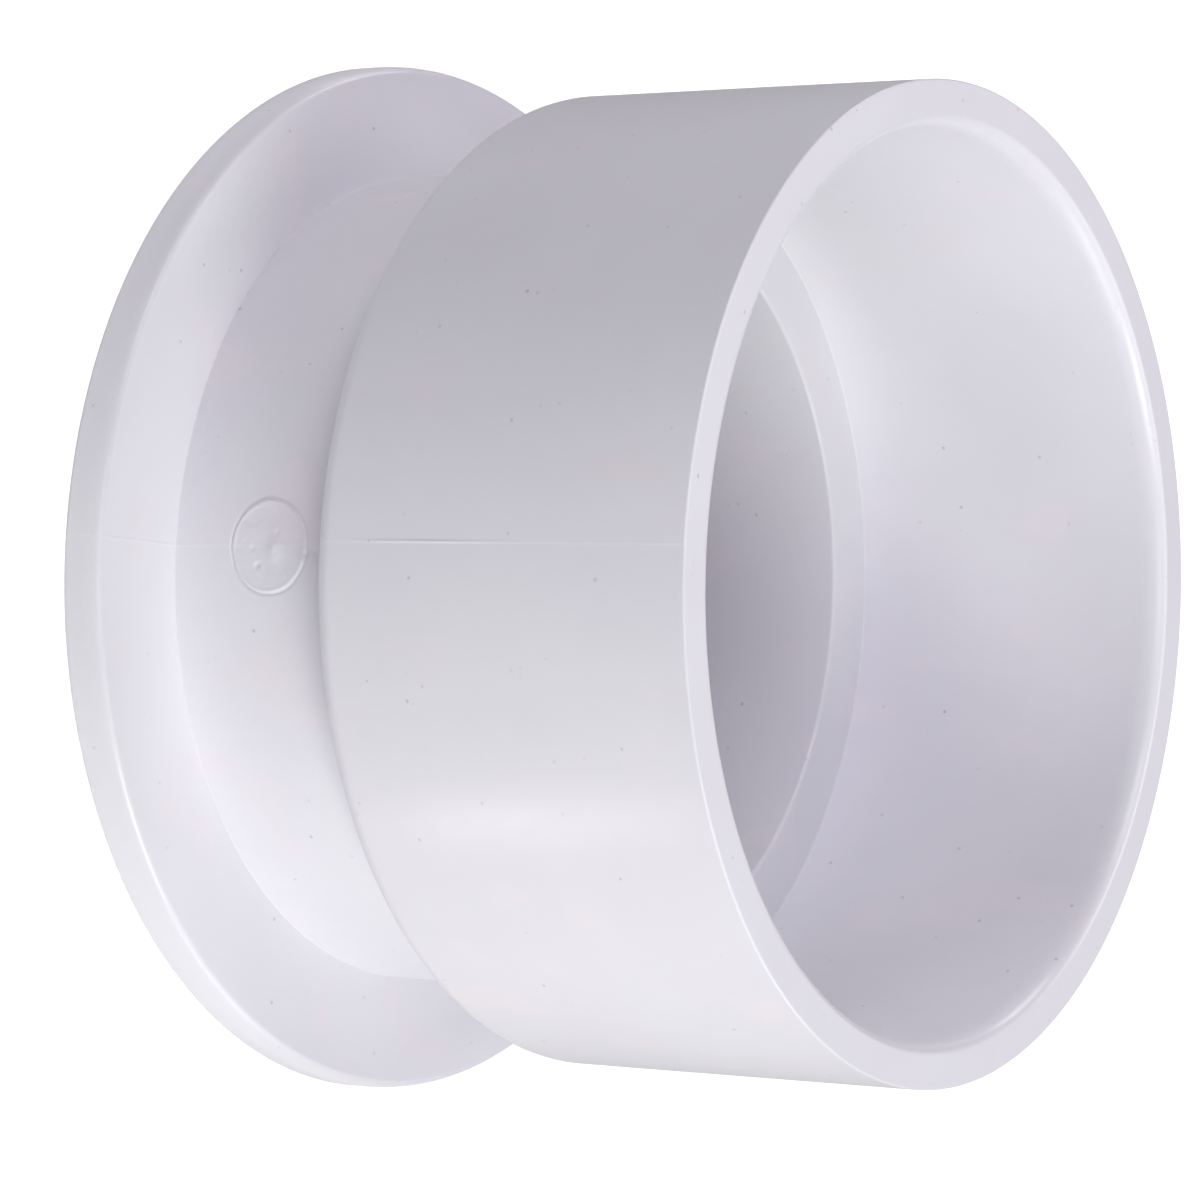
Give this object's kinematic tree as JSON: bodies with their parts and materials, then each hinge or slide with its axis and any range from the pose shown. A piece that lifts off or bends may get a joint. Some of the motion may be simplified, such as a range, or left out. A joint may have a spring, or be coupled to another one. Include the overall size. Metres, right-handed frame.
{
  "type": "pipe union tailpiece",
  "caption": "White plastic union tailpiece: a slip socket that a 2-inch pipe is cemented into, a narrower neck, and a flange with a face seal that a union nut pulls tight.",
  "frame": {"origin": "centre of the flange's sealing face, on the fitting's axis", "axes": "+Z along the axis, out of the socket's mouth; -Y passes through the gate spot on the neck; the mould's parting plane is the YZ plane"},
  "size_m": [0.073, 0.073, 0.0465],
  "materials": {
    "white_pvc": "as moulded, satin gloss",
    "black_rubber": "matt moulded rubber"
  },
  "bodies": {
    "root": {"tailpiece_body": "white_pvc", "face_o_ring": "black_rubber"}
  },
  "joints": []
}
